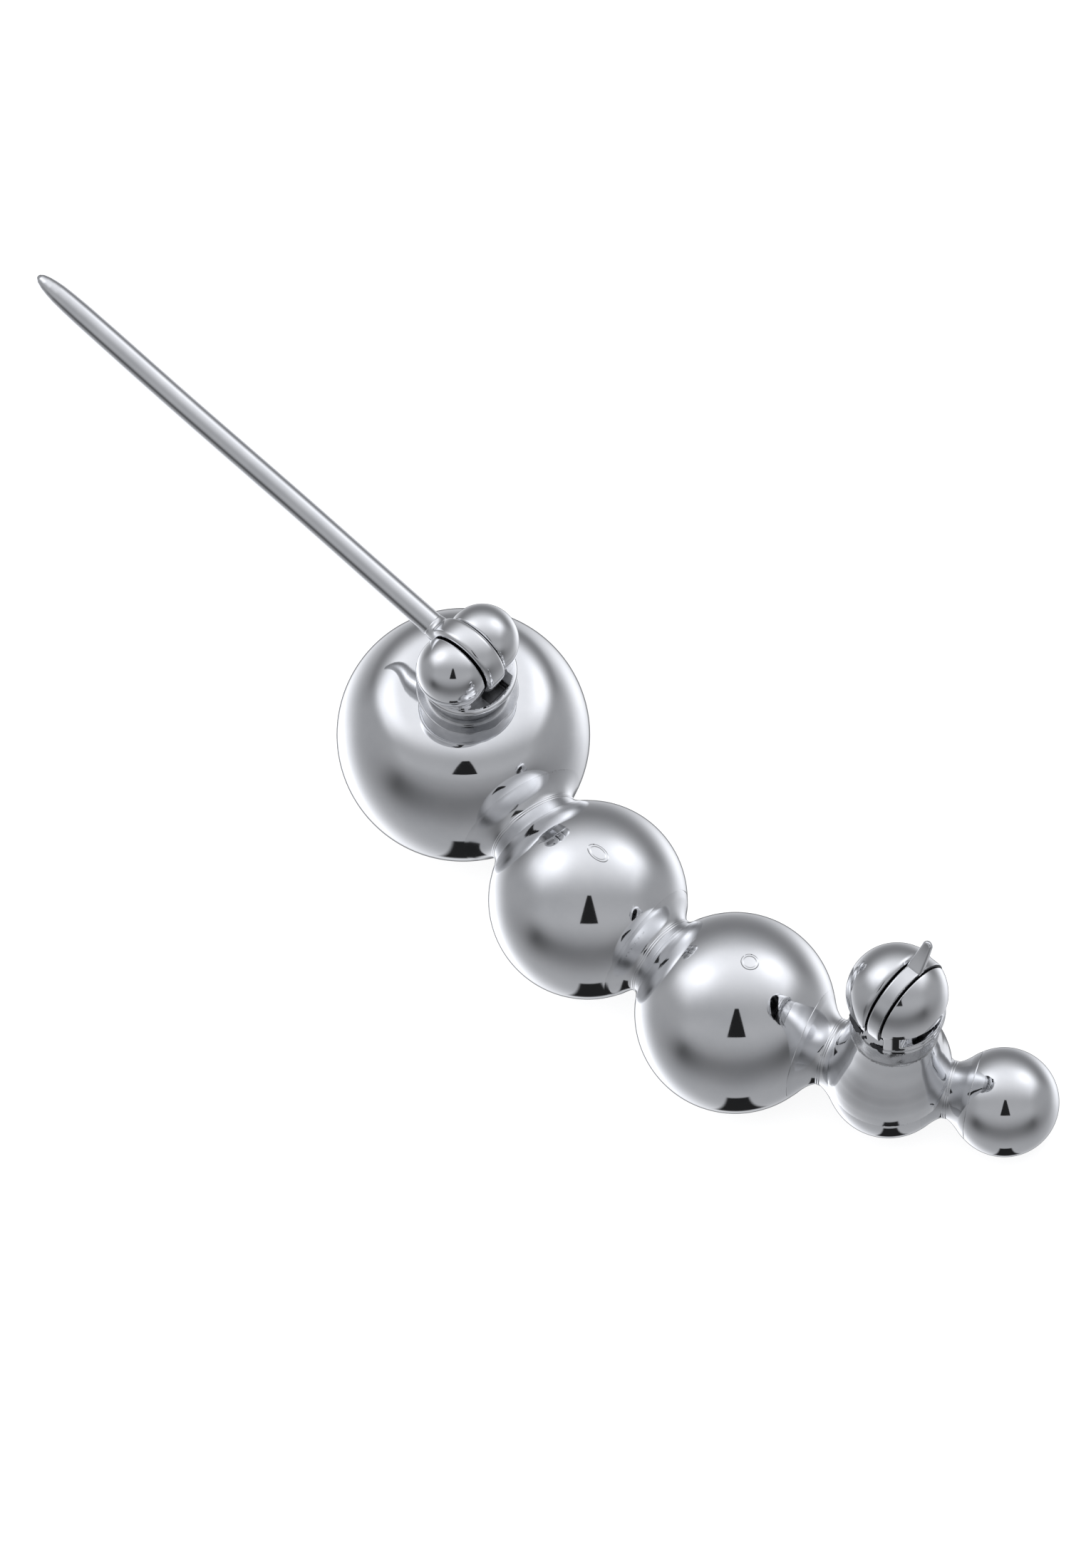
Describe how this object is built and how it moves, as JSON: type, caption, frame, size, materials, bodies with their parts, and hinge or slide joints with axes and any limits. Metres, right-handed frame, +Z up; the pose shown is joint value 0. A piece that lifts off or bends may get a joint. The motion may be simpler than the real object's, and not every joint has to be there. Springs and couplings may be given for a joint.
{
  "type": "decorative bar pin",
  "caption": "Brooch-type bar pin of graduated polished balls on a gentle arc, with a hinged pin stem on the largest ball and a domed rotary safety catch.",
  "frame": {"origin": "bottom centre of the bounding box with the stem open as stored; Z = 0 is the table plane that the largest ball, the third ball and the end ball stand on", "axes": "+X along the bar from the hinge end to the small end ball, +Z up from the table, out of the back of the pin, +Y across the bar towards the outside of its arc"},
  "size_m": [0.0634, 0.0142, 0.022],
  "materials": {
    "polished_silver": "mirror-polished sterling silver",
    "satin_silver": "lightly brushed sterling silver",
    "solder_silver": "uneven silver solder seam"
  },
  "bodies": {
    "bar": {"ball_1_large": "polished_silver", "ball_2_medium": "polished_silver", "ball_3_medium": "polished_silver", "ball_4_small": "polished_silver", "ball_5_small": "polished_silver", "neck_collar_1_2": "polished_silver", "seam_ring_1_2": "solder_silver", "neck_collar_2_3": "polished_silver", "seam_ring_2_3": "solder_silver", "neck_collar_3_4": "polished_silver", "seam_ring_3_4": "solder_silver", "neck_collar_4_5": "polished_silver", "seam_ring_4_5": "solder_silver", "hinge_boss": "polished_silver", "hinge_base_plate": "polished_silver", "hinge_cheek_front": "polished_silver", "hinge_cheek_back": "polished_silver", "hinge_rivet": "satin_silver", "catch_cheek_inner": "polished_silver", "catch_cheek_outer": "polished_silver", "catch_base_plate": "satin_silver", "catch_pedestal": "polished_silver", "pedestal_solder_bead": "solder_silver"},
    "pin": {"pin_knuckle": "polished_silver", "pin_stem": "polished_silver"},
    "rotor": {"catch_rotor": "satin_silver", "catch_lever": "polished_silver"}
  },
  "joints": [
    {"name": "stem_hinge", "type": "hinge", "parent": "bar", "child": "pin", "pos_m": [-0.00361, 0.00272, 0.01479], "axis": [-0.0097, 0.9779, -0.2087], "range_deg": [0, 164]},
    {"name": "catch_turn", "type": "hinge", "parent": "bar", "child": "rotor", "pos_m": [0.0252, 0.00244, 0.01214], "axis": [0.9957, -0.0097, -0.0916], "range_deg": [0, 90]}
  ]
}
